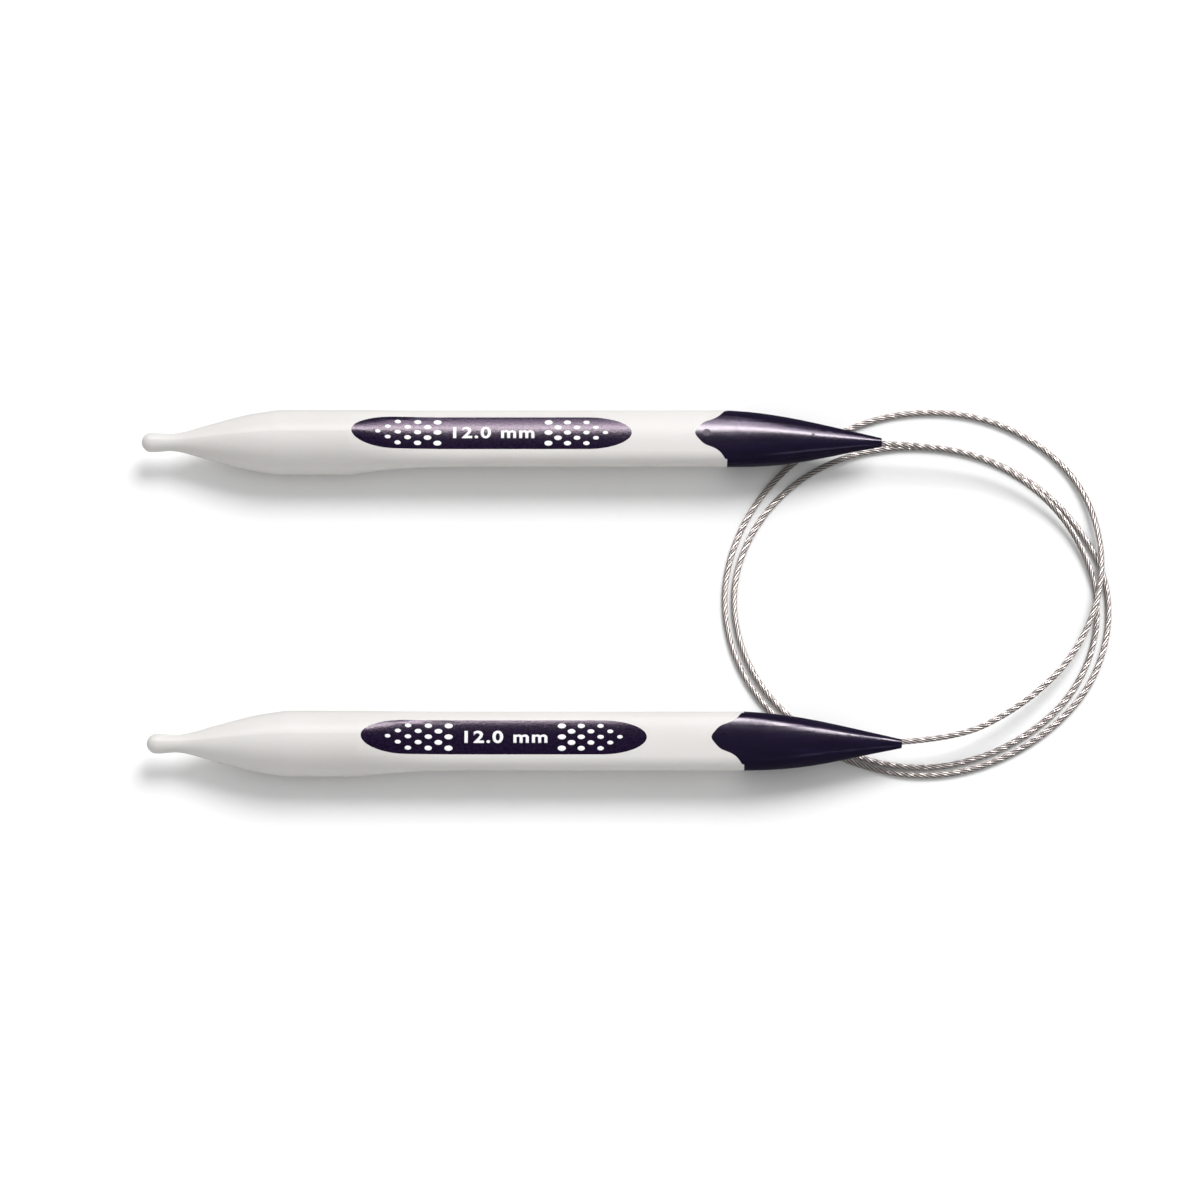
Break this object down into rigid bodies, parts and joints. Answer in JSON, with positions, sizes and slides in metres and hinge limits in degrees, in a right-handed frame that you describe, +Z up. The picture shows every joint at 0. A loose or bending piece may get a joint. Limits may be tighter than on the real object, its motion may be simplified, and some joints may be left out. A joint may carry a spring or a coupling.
{
  "type": "circular knitting needle",
  "caption": "Two hollow white knitting needles with round grips, three-sided shanks and dark cones, joined by a coiled steel wire rope that swivels in each cone.",
  "frame": {"origin": "bottom centre of the two needles' bounding box, on the surface that they lie on", "axes": "+X along both needles, from their points towards their dark cones and the coiled rope; +Y from needle b to needle a; +Z up"},
  "size_m": [0.1792, 0.0735, 0.012],
  "materials": {
    "shaft": "satin moulded white plastic",
    "label": "glossy dark violet film",
    "end_cap": "glossy very dark violet plastic",
    "plug": "moulded dark plastic",
    "ferrule": "crimped stainless steel",
    "cable": "bare stainless wire rope, right-hand lay"
  },
  "bodies": {
    "cord": {"cable": "cable", "cable_ferrule_a": "ferrule", "cable_ferrule_b": "ferrule"},
    "needle_a": {"shaft_a": "shaft", "grip_label_a": "label", "end_cap_a": "end_cap", "retaining_plug_a": "plug"},
    "needle_b": {"shaft_b": "shaft", "grip_label_b": "label", "end_cap_b": "end_cap", "retaining_plug_b": "plug"}
  },
  "joints": [
    {"name": "needle_a_swivel", "type": "hinge", "parent": "cord", "child": "needle_a", "pos_m": [0.0672, 0.0294, 0.006], "axis": [1, 0, 0], "continuous": true},
    {"name": "needle_b_swivel", "type": "hinge", "parent": "cord", "child": "needle_b", "pos_m": [0.0698, -0.0294, 0.006], "axis": [1, 0, 0], "continuous": true}
  ]
}
